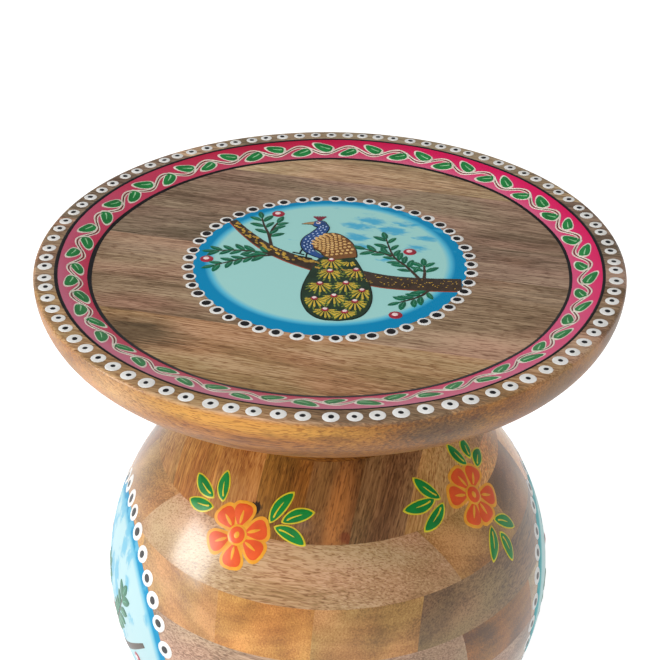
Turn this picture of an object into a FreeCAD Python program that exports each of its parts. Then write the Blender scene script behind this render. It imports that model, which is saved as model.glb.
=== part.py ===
import FreeCAD, Part
import Sketcher
import math
import os

# Pedestal table: a turned tray top on a short neck and a ball foot, all glued up from planks.
# Millimetres, +Z up, origin at the centre of the foot's flat on the floor.
# X runs along the grain of the top's boards.

# Driving sizes, one for each thing that can be set by itself
SIZES = {
    "ball_radius": 185,
    "foot_radius": 98,
    "shoulder_radius": 87.5,
    "neck_height": 81,
    "neck_hollow": 22,
    "top_radius": 225,
    "under_round": 47,
    "edge_band": 0.5,
    "rim_round": 2.5,
    "rim_width": 17,
    "slope_width": 24.7,
    "tray_depth": 7,
    "dowel_radius": 20,
    "dowel_clearance": 0.2,
    "dowel_end_room": 1,
    "top_socket_depth": 25,
    "ball_socket_depth": 60,
    "turning_allowance": 3,
}

# Sizes that follow from the driving ones
DERIVED = {
    "centre_height": "=sqrt(ball_radius^2 - foot_radius^2)",
    "ball_height": "=centre_height + sqrt(ball_radius^2 - shoulder_radius^2)",
    "pedestal_height": "=ball_height + neck_height",
    "cove_radius": "=neck_height^2 / (8 * neck_hollow) + neck_hollow / 2",
    "top_thickness": "=under_round + edge_band + rim_round",
    "overall_height": "=pedestal_height + top_thickness",
    "underside_radius": "=top_radius - under_round",
    "rim_inner_radius": "=top_radius - rim_width",
    "tray_radius": "=rim_inner_radius - slope_width",
    "socket_radius": "=dowel_radius + dowel_clearance",
    "dowel_bottom": "=ball_height - ball_socket_depth",
    "dowel_length": "=ball_socket_depth + neck_height + top_socket_depth - dowel_end_room",
}

# How each glue-up is shared out: the relative widths of its planks, side by side
BALL_COURSES = [
    (1, 1, 1, 0.8),
    (0.6, 1, 1, 1, 0.8),
    (1, 1, 1, 1, 0.7),
    (0.6, 1, 1, 1, 1, 0.5),
    (0.9, 1, 1, 1, 0.9),
    (0.8, 1, 1, 1, 1),
    (1, 1, 1, 1, 1),
    (1, 1, 1, 1, 1, 1, 1, 0.45),
]
NECK_COURSES = [
    (1, 1.5, 1),
    (0.8, 1.2, 0.9),
]
TOP_BOARDS = (1.22, 1.1, 0.49, 0.8, 0.89)

# The ball's largest radius within each course
for number in range(1, len(BALL_COURSES) + 1):
    low = f"ball_height * {number - 1} / {len(BALL_COURSES)}"
    high = f"ball_height * {number} / {len(BALL_COURSES)}"
    nearest = f"min(max(centre_height; {low}); {high})"
    DERIVED[f"course_reach_{number}"] = f"=sqrt(ball_radius^2 - ({nearest} - centre_height)^2)"

doc = FreeCAD.newDocument("BallTable")


# Sheet of sizes
sheet = doc.addObject("Spreadsheet::Sheet", "Sizes")
for row, (alias, content) in enumerate(list(SIZES.items()) + list(DERIVED.items()), start=1):
    sheet.set(f"A{row}", alias)
    sheet.set(f"B{row}", str(content))
    sheet.setAlias(f"B{row}", alias)
doc.recompute()


def size(alias):
    """The present value of a size."""
    return float(sheet.get(alias))


def cell(alias):
    """A size as an expression names it."""
    return f"Sizes.{alias}"


# Turned shapes
def turned_body(name, corners, arcs):
    """A body turned about Z from a closed outline.

    corners: (x, z) pairs of expressions in order, each with its present value.
    arcs: for the edge that starts at a corner, its radius expression and the side its centre is on,
    +1 for an edge that bulges to the right of the way it runs and -1 for a hollow one.
    """
    body = doc.addObject("PartDesign::Body", name)
    sketch = body.newObject("Sketcher::SketchObject", name + "Outline")
    plane = [feature for feature in body.Origin.OriginFeatures if feature.Role == "XZ_Plane"][0]
    sketch.AttachmentSupport = (plane, [""])
    sketch.MapMode = "FlatFace"
    points = [FreeCAD.Vector(x[1], z[1], 0) for x, z in corners]
    for index, start in enumerate(points):
        end = points[(index + 1) % len(points)]
        if index in arcs:
            sketch.addGeometry(arc_between(start, end, arcs[index][1], arcs[index][2]))
        else:
            sketch.addGeometry(Part.LineSegment(start, end))
    ends = [edge_ends(index, arcs) for index in range(len(points))]
    for index in range(len(points)):
        following = (index + 1) % len(points)
        join = Sketcher.Constraint("Coincident", index, ends[index][1], following, ends[following][0])
        sketch.addConstraint(join)
    for index, (x, z) in enumerate(corners):
        bind(sketch, "DistanceX", index, ends[index][0], x)
        bind(sketch, "DistanceY", index, ends[index][0], z)
    for index, (expression, radius, side) in arcs.items():
        number = sketch.addConstraint(Sketcher.Constraint("Radius", index, radius))
        sketch.setExpression(f"Constraints[{number}]", expression)
    turning = body.newObject("PartDesign::Revolution", name + "Turning")
    turning.Profile = sketch
    turning.ReferenceAxis = (sketch, ["V_Axis"])
    turning.Angle = 360
    return body


def arc_between(start, end, radius, side):
    """A circular arc of that radius from start to end."""
    chord = end - start
    middle = (start + end) * 0.5
    reach = math.sqrt(max(radius ** 2 - chord.Length ** 2 / 4, 0))
    left = FreeCAD.Vector(-chord.y, chord.x, 0).normalize()
    centre = middle + left * reach * side
    first, last = (start, end) if side > 0 else (end, start)
    angles = [math.atan2(point.y - centre.y, point.x - centre.x) for point in (first, last)]
    circle = Part.Circle(centre, FreeCAD.Vector(0, 0, 1), radius)
    return Part.ArcOfCircle(circle, angles[0], angles[1])


def edge_ends(index, arcs):
    """Which end of an edge is its start on the outline and which its finish."""
    if index in arcs and arcs[index][2] < 0:
        return 2, 1
    return 1, 2


def bind(sketch, kind, index, end, target):
    """Hold one coordinate of an edge's start to an expression."""
    expression, present = target
    if expression == "0":
        on_axis = -2 if kind == "DistanceX" else -1
        sketch.addConstraint(Sketcher.Constraint("PointOnObject", index, end, on_axis))
        return
    number = sketch.addConstraint(Sketcher.Constraint(kind, -1, 1, index, end, present))
    sketch.setExpression(f"Constraints[{number}]", expression)


def at(*aliases, less=()):
    """A coordinate that is a sum of sizes: its expression and its present value."""
    if not aliases:
        return "0", 0.0
    expression = " + ".join(cell(alias) for alias in aliases)
    expression += "".join(" - " + cell(alias) for alias in less)
    present = sum(size(alias) for alias in aliases) - sum(size(alias) for alias in less)
    return expression, present


def arc(alias, side):
    """An arc's radius as an expression, its present value and its side."""
    return cell(alias), size(alias), side


# Ball foot: a sphere cut flat at the floor and at the shoulder, bored for the dowel
ball = turned_body(
    "BallTurned",
    [
        (at(), at()),
        (at("foot_radius"), at()),
        (at("shoulder_radius"), at("ball_height")),
        (at("socket_radius"), at("ball_height")),
        (at("socket_radius"), at("dowel_bottom")),
        (at(), at("dowel_bottom")),
    ],
    {1: arc("ball_radius", 1)},
)

# Neck: a hollow-sided collar between ball and top, bored right through
neck = turned_body(
    "NeckTurned",
    [
        (at("socket_radius"), at("ball_height")),
        (at("shoulder_radius"), at("ball_height")),
        (at("shoulder_radius"), at("pedestal_height")),
        (at("socket_radius"), at("pedestal_height")),
    ],
    {1: arc("cove_radius", -1)},
)

# Top: a thick disc with a bowl-rounded underside and a shallow tray turned into its upper face
tray_floor = at("overall_height", less=["tray_depth"])
top = turned_body(
    "TopTurned",
    [
        (at("socket_radius"), at("pedestal_height")),
        (at("underside_radius"), at("pedestal_height")),
        (at("top_radius"), at("pedestal_height", "under_round")),
        (at("top_radius"), at("overall_height", less=["rim_round"])),
        (at("top_radius", less=["rim_round"]), at("overall_height")),
        (at("rim_inner_radius"), at("overall_height")),
        (at("tray_radius"), tray_floor),
        (at(), tray_floor),
        (at(), at("pedestal_height", "top_socket_depth")),
        (at("socket_radius"), at("pedestal_height", "top_socket_depth")),
    ],
    {1: arc("under_round", 1), 3: arc("rim_round", 1)},
)
doc.recompute()

sub_parts = []


# Planks and boards: each is the stretch of a turned shape between two glue seams
def stretch(label, turned, across, low, width, bottom, height, half_length):
    """One plank of a turned shape. across is the axis, x or y, that its width runs along."""
    blank = doc.addObject("Part::Box", label + "_blank")
    along = "y" if across == "x" else "x"
    width_name, length_name = ("Length", "Width") if across == "x" else ("Width", "Length")
    blank.setExpression(width_name, width)
    blank.setExpression(length_name, f"2 * {half_length}")
    blank.setExpression("Height", height)
    blank.setExpression(f"Placement.Base.{across}", low)
    blank.setExpression(f"Placement.Base.{along}", f"-{half_length}")
    blank.setExpression("Placement.Base.z", bottom)
    plank = doc.addObject("Part::Common", label)
    plank.Base = turned
    plank.Tool = blank
    plank.Label = label
    sub_parts.append(plank)


def glue_up(label, turned, across, shares, reach, bottom, height):
    """Planks side by side that fill a square blank, turned down from it by the turning allowance."""
    half_blank = f"({cell(reach)} + {cell('turning_allowance')})"
    for number, share in enumerate(shares):
        before = sum(shares[:number]) / sum(shares)
        low = f"{half_blank} * {2 * before - 1}"
        width = f"{half_blank} * {2 * share / sum(shares)}"
        stretch(f"{label}_{number + 1}", turned, across, low, width, bottom, height, half_blank)


# Ball courses, counted up from the floor, crossing each other like plywood
for number, shares in enumerate(BALL_COURSES, start=1):
    glue_up(
        label=f"ball_course_{number}_plank",
        turned=ball,
        across="y" if number % 2 else "x",
        shares=shares,
        reach=f"course_reach_{number}",
        bottom=f"{cell('ball_height')} * {number - 1} / {len(BALL_COURSES)}",
        height=f"{cell('ball_height')} / {len(BALL_COURSES)}",
    )

# Neck courses, crossing in the same way
for number, shares in enumerate(NECK_COURSES, start=1):
    glue_up(
        label=f"neck_course_{number}_plank",
        turned=neck,
        across="y" if number % 2 else "x",
        shares=shares,
        reach="shoulder_radius",
        bottom=f"{cell('ball_height')} + {cell('neck_height')} * {number - 1} / {len(NECK_COURSES)}",
        height=f"{cell('neck_height')} / {len(NECK_COURSES)}",
    )

# Top boards, edge to edge, counted from the front
glue_up(
    label="top_board",
    turned=top,
    across="y",
    shares=TOP_BOARDS,
    reach="top_radius",
    bottom=cell("pedestal_height"),
    height=cell("top_thickness"),
)

# Dowel: a plain round rod glued through the neck into the ball and the top
dowel = doc.addObject("Part::Cylinder", "centre_dowel")
dowel.setExpression("Radius", cell("dowel_radius"))
dowel.setExpression("Height", cell("dowel_length"))
dowel.setExpression("Placement.Base.z", cell("dowel_bottom"))
dowel.Label = "centre_dowel"
sub_parts.append(dowel)

# Everything is worked out and looked over before any file is written
doc.recompute()
for thing in doc.Objects:
    if "Invalid" in thing.State or "Error" in thing.State:
        raise RuntimeError(f"{thing.Label} did not build: {thing.State}")
for piece in sub_parts:
    if piece.Shape.isNull() or not piece.Shape.isValid() or len(piece.Shape.Solids) != 1:
        raise RuntimeError(f"{piece.Label} is not one sound solid")

os.makedirs("parts", exist_ok=True)
for piece in sub_parts:
    piece.Shape.exportStep(f"parts/{piece.Label}.step")
print(len(sub_parts), "pieces,", round(size("overall_height"), 2), "mm high")
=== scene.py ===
import math
import random

import bpy
from mathutils import Matrix, Vector


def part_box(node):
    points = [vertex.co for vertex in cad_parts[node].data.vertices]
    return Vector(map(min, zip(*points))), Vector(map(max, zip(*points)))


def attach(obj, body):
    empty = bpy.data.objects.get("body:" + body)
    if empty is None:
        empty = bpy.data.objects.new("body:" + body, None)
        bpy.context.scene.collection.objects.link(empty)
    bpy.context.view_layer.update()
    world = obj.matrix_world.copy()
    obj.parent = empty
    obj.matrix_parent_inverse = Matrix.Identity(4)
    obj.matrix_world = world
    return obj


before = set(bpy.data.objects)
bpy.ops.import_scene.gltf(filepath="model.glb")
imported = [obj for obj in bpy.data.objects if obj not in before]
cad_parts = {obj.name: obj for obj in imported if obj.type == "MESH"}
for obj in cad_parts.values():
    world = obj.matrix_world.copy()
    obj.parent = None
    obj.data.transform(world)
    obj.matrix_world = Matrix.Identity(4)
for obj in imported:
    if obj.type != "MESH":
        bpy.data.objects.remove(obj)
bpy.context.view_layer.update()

# Ball foot. Eight crossed courses of mango planks, glued to a block, turned to a ball and lacquered.
# Each plank keeps its own tone and figure, with long grain on its sides and end grain where the ball
# cuts across it.
MM = 0.001
GRAIN_ALONG_X = 0.0
GRAIN_ALONG_Y = -math.pi / 2
TONES = {
    "pale": ("#8e6b44", "#af8963", "#c5a381"),
    "straw": ("#9b6e38", "#c18f57", "#dcaa71"),
    "honey": ("#956026", "#bb813e", "#d69f56"),
    "rosy": ("#8b5122", "#ac7037", "#c38c50"),
    "tan": ("#835c2f", "#a97d46", "#c2965d"),
    "sand": ("#bc834a", "#f0b06b", "#ffd28c"),
    "brown": ("#58350f", "#835521", "#a76f30"),
    "walnut": ("#503215", "#79512d", "#996b3f"),
    "umber": ("#634629", "#8a6542", "#a47c53"),
    "grey": ("#5e462e", "#806444", "#977a58"),
    "dun": ("#826444", "#aa855f", "#c6a583"),
    "fawn": ("#795e49", "#a1826c", "#bfa18a"),
    "smoke": ("#6b5847", "#957c6c", "#b09986"),
    "ash": ("#6f5948", "#967d6b", "#b49b88"),
    "biscuit": ("#947a5f", "#c1a685", "#e3cbac"),
    "oat": ("#6c4722", "#8d6134", "#a67847"),
    "gilt": ("#76491a", "#9d692e", "#b6813f"),
}
PLANK_TONES = {
    "ball_course_8_plank_1": "tan",
    "ball_course_8_plank_2": "honey",
    "ball_course_8_plank_3": "rosy",
    "ball_course_8_plank_4": "brown",
    "ball_course_8_plank_5": "walnut",
    "ball_course_8_plank_6": "umber",
    "ball_course_8_plank_7": "straw",
    "ball_course_8_plank_8": "sand",
    "ball_course_7_plank_1": "pale",
    "ball_course_7_plank_2": "tan",
    "ball_course_7_plank_3": "oat",
    "ball_course_6_plank_1": "honey",
    "ball_course_6_plank_2": "tan",
    "ball_course_6_plank_3": "honey",
}
KNOT = "#20130a"
FILLER = "#7c3f1e"
HEARTWOOD = "#a86a34"
PLANK_FLAWS_AND_SHADE = {
    "ball_course_8_plank_3": (((-26.5, -121, 294), (5, 5, 4.5), KNOT, 1.0, 0.2),),
    "ball_course_8_plank_4": (((-26.5, -121, 294), (6, 6, 5.5), KNOT, 1.0, 0.2),),
    "ball_course_8_plank_5": (((36, -125, 300), (9, 60, 45), HEARTWOOD, 0.8, 0.6),
                              ((45, -127, 283.5), (5, 5, 5), FILLER, 0.9, 0.5)),
}
plank_draws = random.Random(11)


def linear(hex_colour):
    """An sRGB hex colour as linear RGBA."""
    channels = [int(hex_colour[place:place + 2], 16) / 255 for place in (1, 3, 5)]
    curve = [c / 12.92 if c <= 0.04045 else ((c + 0.055) / 1.055) ** 2.4 for c in channels]
    return (*curve, 1.0)


def add(material, kind, settings=None, sockets=None):
    """Adds a node, sets its properties, and fills or links its input sockets."""
    made = material.node_tree.nodes.new("ShaderNode" + kind)
    for name, value in (settings or {}).items():
        setattr(made, name, value)
    for socket, value in (sockets or {}).items():
        if isinstance(value, bpy.types.NodeSocket):
            material.node_tree.links.new(value, made.inputs[socket])
        else:
            made.inputs[socket].default_value = value
    return made


def new_material(name):
    """An empty node material with its output, and the output's socket for the shader."""
    material = bpy.data.materials.new(name)
    material.use_nodes = True
    material.node_tree.nodes.clear()
    output = add(material, "OutputMaterial")
    return material, output.inputs["Surface"]


def set_ramp(ramp, stops):
    """Gives a colour ramp its stops, each a place and a hex colour."""
    elements = ramp.color_ramp.elements
    while len(elements) < len(stops):
        elements.new(0.5)
    for element, (place, colour) in zip(elements, stops):
        element.position = place
        element.color = linear(colour)


def wood_figure(material, place, grain_turn, dip, draws):
    """What the cut of a plank shows: slow drifts and casts of tone, fibres, pores and growth rings."""
    sway_pitch = 166.7 * MM
    ring_pitch = 9 * MM
    # The wave texture repeats every 0.314 at a scale of 1
    wave_period = 0.314
    figures = (
        ("drift", 300 * MM, 34 * MM, 1.5),
        ("cast", 120 * MM, 40 * MM, 1.0),
        ("fibre", 38 * MM, 1.4 * MM, 2.5),
        ("pores", 8 * MM, 1.0 * MM, 1.0),
    )
    pith_side = draws.choice((-1, 1))
    pith = [draws.uniform(-0.5, 0.5), pith_side * draws.uniform(0.05, 0.16), draws.uniform(-0.7, -0.45)]
    tilt = (dip + draws.uniform(-0.04, 0.04), draws.uniform(-0.06, 0.06),
            grain_turn + draws.uniform(-0.05, 0.05))
    cut = add(material, "Mapping", None, {
        "Vector": place, "Location": pith, "Rotation": tilt}).outputs["Vector"]
    sway = add(material, "TexNoise", None, {
        "Vector": cut, "Scale": 1 / sway_pitch, "Detail": 1.0}).outputs["Color"]
    sway = add(material, "VectorMath", {"operation": "SUBTRACT"}, {0: sway, 1: (0.5, 0.5, 0.5)}).outputs[0]
    bent = add(material, "VectorMath", {"operation": "MULTIPLY_ADD"}, {
        0: sway, 1: (0.0, 0.007, 0.007), 2: cut}).outputs[0]
    figure = {}
    for feature, length, width, detail in figures:
        drawn = add(material, "VectorMath", {"operation": "MULTIPLY"}, {
            0: bent, 1: (1 / length, 1 / width, 1 / width)}).outputs[0]
        figure[feature] = add(material, "TexNoise", None, {
            "Vector": drawn, "Scale": 1.0, "Detail": detail, "Roughness": 0.6}).outputs["Fac"]
    figure["rings"] = add(material, "TexWave", {"wave_type": "RINGS", "rings_direction": "X"}, {
        "Vector": bent, "Scale": wave_period / ring_pitch, "Distortion": 2.0, "Detail": 3.0}).outputs["Fac"]
    return figure


def with_flaws_and_painted_shade(material, colour, place, fibre, grain_light, flaws_and_shade):
    """The wood's colour with its knots, stains, filler and patches of painted shade over it, each one ragged
    along the fibres.
    """
    raggedness = 1.2
    border = 1.45
    for centre, reach, patch_colour, strength, blur in flaws_and_shade:
        away = add(material, "VectorMath", {"operation": "SUBTRACT"}, {
            0: place, 1: Vector(centre) * MM}).outputs[0]
        away = add(material, "VectorMath", {"operation": "DIVIDE"}, {
            0: away, 1: Vector(reach) * MM}).outputs[0]
        away = add(material, "VectorMath", {"operation": "LENGTH"}, {0: away}).outputs["Value"]
        ragged = add(material, "Math", {"operation": "MULTIPLY_ADD"}, {
            0: fibre, 1: raggedness, 2: away}).outputs[0]
        cover = add(material, "MapRange", None, {
            "Value": ragged, "From Min": border - blur / 2, "From Max": border + blur / 2,
            "To Min": strength, "To Max": 0.0}).outputs["Result"]
        patch_tint = add(material, "MixRGB", {"blend_type": "MULTIPLY"}, {
            "Fac": 1.0, "Color1": linear(patch_colour), "Color2": grain_light}).outputs["Color"]
        colour = add(material, "MixRGB", None, {
            "Fac": cover, "Color1": colour, "Color2": patch_tint}).outputs["Color"]
    return colour


# Mango wood under satin lacquer: straight fibres drawn 1.4 mm apart and pore dashes 1 mm wide, coarser than
# life so that they show, a speckle instead of streaks where the cut runs across the grain, and slow drifts of
# tone from rosy to olive. Knots, stains and filler are patches of another colour, and so are patches of
# painted shade. The lacquer shines softly.
def mango_wood(name, tone, grain_turn, dip, draws, flaws_and_shade, lacquer, edge_tone):
    material, surface = new_material(name)
    coordinates = add(material, "TexCoord")
    place = coordinates.outputs["Object"]
    figure = wood_figure(material, place, grain_turn, dip, draws)
    normal = add(material, "SeparateXYZ", None, {"Vector": coordinates.outputs["Normal"]})
    facing = normal.outputs["X" if grain_turn == GRAIN_ALONG_X else "Y"]
    facing = add(material, "Math", {"operation": "ABSOLUTE"}, {0: facing}).outputs[0]
    tint = figure["drift"]
    for feature, along_grain, across_grain in (("fibre", 1.15, 0.65), ("rings", 0.04, 0.06)):
        weight = add(material, "MapRange", None, {
            "Value": facing, "From Min": 0.3, "From Max": 0.9, "To Min": along_grain,
            "To Max": across_grain}).outputs["Result"]
        swing = add(material, "Math", {"operation": "SUBTRACT"}, {0: figure[feature], 1: 0.5}).outputs[0]
        tint = add(material, "Math", {"operation": "MULTIPLY_ADD"}, {0: swing, 1: weight, 2: tint}).outputs[0]
    faces = []
    for shade in (tone, edge_tone or tone):
        dark, middle, light = TONES[shade]
        ramp = add(material, "ValToRGB", None, {"Fac": tint})
        set_ramp(ramp, [(0.28, dark), (0.5, middle), (0.72, light)])
        faces.append(ramp.outputs["Color"])
    # With an edge tone, faces that look up keep the board's tone and the turned edge takes the edge tone; on
    # the tray top the greyer upward faces are partly a painted reflection of the white surround.
    turned_edge = add(material, "MapRange", None, {
        "Value": normal.outputs["Z"], "From Min": 0.92, "From Max": 0.1}).outputs["Result"]
    colour = add(material, "MixRGB", None, {
        "Fac": turned_edge, "Color1": faces[0], "Color2": faces[1]}).outputs["Color"]
    cast = add(material, "ValToRGB", None, {"Fac": figure["cast"]})
    set_ramp(cast, [(0.36, "#fff0e8"), (0.64, "#eef2e2")])
    colour = add(material, "MixRGB", {"blend_type": "MULTIPLY"}, {
        "Fac": 1.0, "Color1": colour, "Color2": cast.outputs["Color"]}).outputs["Color"]
    grain_light = add(material, "MapRange", None, {
        "Value": tint, "From Min": 0.28, "From Max": 0.72, "To Min": 0.62, "To Max": 1.35}).outputs["Result"]
    colour = with_flaws_and_painted_shade(material, colour, place, figure["fibre"], grain_light, flaws_and_shade)
    open_pores = add(material, "MapRange", None, {
        "Value": figure["pores"], "From Min": 0.54, "From Max": 0.65}).outputs["Result"]
    pore_depth = add(material, "MapRange", None, {
        "Value": facing, "From Min": 0.35, "From Max": 0.8, "To Min": 0.65, "To Max": 0.35}).outputs["Result"]
    pore_shade = add(material, "Math", {"operation": "MULTIPLY"}, {0: open_pores, 1: pore_depth}).outputs[0]
    colour = add(material, "MixRGB", {"blend_type": "MULTIPLY"}, {
        "Fac": pore_shade, "Color1": colour, "Color2": linear(TONES[tone][1])}).outputs["Color"]
    rough = add(material, "MapRange", None, {
        "Value": figure["fibre"], "To Min": 0.36, "To Max": 0.54}).outputs["Result"]
    relief = add(material, "Math", {"operation": "SUBTRACT"}, {0: figure["fibre"], 1: open_pores}).outputs[0]
    bump = add(material, "Bump", None, {
        "Height": relief, "Strength": 0.12, "Distance": 0.3 * MM}).outputs["Normal"]
    shader = add(material, "BsdfPrincipled", None, {
        "Base Color": colour, "Roughness": rough, "Normal": bump, "IOR": 1.5, "Specular IOR Level": 0.3,
        "Coat Weight": lacquer, "Coat Roughness": 0.18})
    material.node_tree.links.new(shader.outputs["BSDF"], surface)
    return material


WILD_GRAIN = {"ball_course_8": -0.6}


def finish_planks(prefix, grain_of, lacquer=0.6, edge_tone=None):
    """Gives every CAD plank whose name starts with prefix its own cut of mango wood."""
    for name in sorted(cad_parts):
        if name.startswith(prefix):
            tone = PLANK_TONES.get(name) or plank_draws.choice(sorted(TONES))
            flaws_and_shade = PLANK_FLAWS_AND_SHADE.get(name, ())
            dip = WILD_GRAIN.get(name.split("_plank")[0], 0.0)
            wood = mango_wood("mango_" + name, tone, grain_of(name), dip, plank_draws, flaws_and_shade, lacquer,
                              edge_tone)
            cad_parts[name].data.materials[0] = wood


def crossed_grain(name):
    """Odd courses run along X and even ones along Y."""
    course = int(name.split("_")[2])
    return GRAIN_ALONG_X if course % 2 else GRAIN_ALONG_Y


finish_planks("ball_course", crossed_grain)

# Neck. Two crossed courses of the same planks, turned to a hollow waist and glued between ball and top.
# The dowel through it is a plain pale hardwood rod, glued into all three.
PLANK_TONES.update({
    "neck_course_1_plank_1": "brown",
    "neck_course_1_plank_2": "umber",
    "neck_course_1_plank_3": "brown",
    "centre_dowel": "pale",
})
finish_planks("neck_course", crossed_grain)
finish_planks("centre_dowel", lambda name: GRAIN_ALONG_X)

# Tray top. Five mango boards of unequal width, edge glued, turned to a bowl-edged disc with a shallow tray.
# Their grain runs along X, so the front and back edges show long grain and the ends show end grain. The
# turned edge is golden, and the flat faces are greyer, partly the wood's own tone and partly a painted
# reflection of the white surround. Darker patches low on the edge and on its right side are painted shade.
PLANK_TONES.update({
    "top_board_1": "dun",
    "top_board_2": "fawn",
    "top_board_3": "smoke",
    "top_board_4": "ash",
    "top_board_5": "biscuit",
})
SAP_STAIN = "#5a4a34"
SAPWOOD = "#bb9f83"
PALE_EDGE = "#d8b184"
GOLDEN = "#bd8c3e"
# Painted shade: darker on the right side of the top's edge, turned away from the light on the left.
SHADED_RIGHT_EDGE = "#6a4f31"
# Grey patches on the rim flats at the back, at both sides and at the front right.
GREY_RIM_PATCH = "#7b6a58"
# Painted shade: darker low on the front and right of the top's edge, where it curves under.
SHADED_UNDER_EDGE = "#6e4722"
BROWN_KNOT = "#6b3f1c"
PLANK_FLAWS_AND_SHADE.update({
    "top_board_1": (
        ((-104, -200, 440), (46, 34, 14), PALE_EDGE, 0.35, 0.9),
        ((48, -196, 420), (130, 60, 14), SHADED_UNDER_EDGE, 0.5, 0.9),
        ((187, -117, 426), (45, 50, 18), SHADED_UNDER_EDGE, 0.5, 0.9),
        ((5, -222, 443), (110, 22, 7), GOLDEN, 0.55, 0.8),
        ((-112, -132, 444), (44, 22, 12), SAP_STAIN, 0.85, 0.8),
        ((124, -187, 436), (40, 32, 13), SAP_STAIN, 0.7, 0.8),
        ((192, -115, 436), (30, 40, 18), SHADED_RIGHT_EDGE, 0.7, 0.8),
        ((100, -200, 451), (90, 50, 3), GREY_RIM_PATCH, 0.6, 0.8),
        ((56, -218, 438), (15, 12, 4), BROWN_KNOT, 0.55, 0.7),
        ((2, -224, 433), (26, 12, 2.5), BROWN_KNOT, 0.4, 0.8),
        ((143, -173, 442), (3.6, 3.6, 2.4), BROWN_KNOT, 0.75, 0.6),
        ((128, -183, 434), (3.6, 3.6, 2.4), BROWN_KNOT, 0.75, 0.6),
        ((162, -154, 441), (12, 12, 4), BROWN_KNOT, 0.5, 0.7)),
    "top_board_2": (
        ((-140, -13, 444), (46, 13, 10), SAPWOOD, 0.6, 0.9),
        ((165, -9, 444), (56, 13, 10), SAPWOOD, 0.5, 0.9),
        ((192, -115, 436), (30, 40, 18), SHADED_RIGHT_EDGE, 0.7, 0.8),
        ((217, -50, 440), (18, 50, 14), SHADED_RIGHT_EDGE, 0.45, 0.8),
        ((187, -117, 426), (45, 50, 18), SHADED_UNDER_EDGE, 0.5, 0.9)),
    "top_board_3": (
        ((-140, -13, 444), (46, 13, 10), SAPWOOD, 0.6, 0.9),
        ((165, -9, 444), (56, 13, 10), SAPWOOD, 0.5, 0.9),
        ((136, 40, 444), (16, 8, 8), BROWN_KNOT, 0.3, 0.7)),
    "top_board_4": (((190, 100, 451), (40, 70, 3), GREY_RIM_PATCH, 0.6, 0.8),
                    ((-190, 100, 451), (40, 70, 3), GREY_RIM_PATCH, 0.4, 0.8)),
    "top_board_5": (((0, 200, 451), (230, 80, 3), GREY_RIM_PATCH, 0.65, 0.6),),
})
finish_planks("top_board", lambda name: GRAIN_ALONG_X, lacquer=0.1, edge_tone="gilt")

# Rim dots. A ring of white dots with black eyes, blobs of thick enamel set down by hand on the flat rim,
# so no two are quite the same size or quite in line.
rim_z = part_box("top_board_2")[1].z
RIM_DOTS = 90
RIM_DOT_RING = 216.7 * MM
RIM_DOT_RADIUS = 5.2 * MM
RIM_EYE_RADIUS = 1.9 * MM
DOT_HEIGHT = 0.35 * MM
PICTURE_TURN = math.radians(14)
FRONT_ANGLE = PICTURE_TURN - math.pi / 2
dot_draws = random.Random(5)


def brush_relief(material, place, brush_width):
    """The faint relief that a brush leaves in thick paint."""
    brush = add(material, "TexNoise", None, {
        "Vector": place, "Scale": 1 / brush_width, "Detail": 2.0}).outputs["Fac"]
    return add(material, "Bump", None, {
        "Height": brush, "Strength": 0.1, "Distance": 0.2 * MM}).outputs["Normal"]


# Enamel: a thick opaque gloss paint, brushed on, so its colour clouds a little over a few millimetres and
# its face keeps faint brush relief.
def enamel(name, colour, shade, roughness=0.35):
    cloud_size = 9 * MM
    brush_width = 0.7 * MM
    material, surface = new_material(name)
    place = add(material, "TexCoord").outputs["Object"]
    clouds = add(material, "TexNoise", None, {
        "Vector": place, "Scale": 1 / cloud_size, "Detail": 3.0, "Roughness": 0.6}).outputs["Fac"]
    ramp = add(material, "ValToRGB", None, {"Fac": clouds})
    set_ramp(ramp, [(0.32, shade), (0.62, colour)])
    bump = brush_relief(material, place, brush_width)
    shader = add(material, "BsdfPrincipled", None, {
        "Base Color": ramp.outputs["Color"], "Roughness": roughness, "Normal": bump, "IOR": 1.5,
        "Specular IOR Level": 0.4})
    material.node_tree.links.new(shader.outputs["BSDF"], surface)
    return material


WHITE_ENAMEL = enamel("white_enamel", "#e4e3e0", "#d3d1cc")
BLACK_ENAMEL = enamel("black_enamel", "#141316", "#1f1d20")


def deselect():
    """Nothing selected, so that the next operator acts on its own object alone."""
    bpy.ops.object.select_all(action="DESELECT")


def dab_model(name):
    """One drop of paint, a metre in radius and height, flat underneath: the top half of a ball."""
    deselect()
    bpy.ops.mesh.primitive_uv_sphere_add(segments=20, ring_count=10, radius=1)
    model = bpy.context.active_object
    model.name = name
    bpy.ops.object.mode_set(mode="EDIT")
    bpy.ops.mesh.select_all(action="SELECT")
    bpy.ops.mesh.bisect(plane_co=(0, 0, 0), plane_no=(0, 0, 1), use_fill=True, clear_inner=True)
    bpy.ops.object.mode_set(mode="OBJECT")
    return model


def dab(model, x, y, radius, height, lift=0.0, stretch=1.0, turn=0.0):
    """A copy of the drop at a place on the flat plan of the painting."""
    copy = model.copy()
    copy.data = model.data.copy()
    bpy.context.collection.objects.link(copy)
    shape = Matrix.Rotation(turn, 4, "Z") @ Matrix.Diagonal((radius * stretch, radius, height, 1))
    copy.data.transform(Matrix.Translation((x, y, lift)) @ shape)
    return copy


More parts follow.
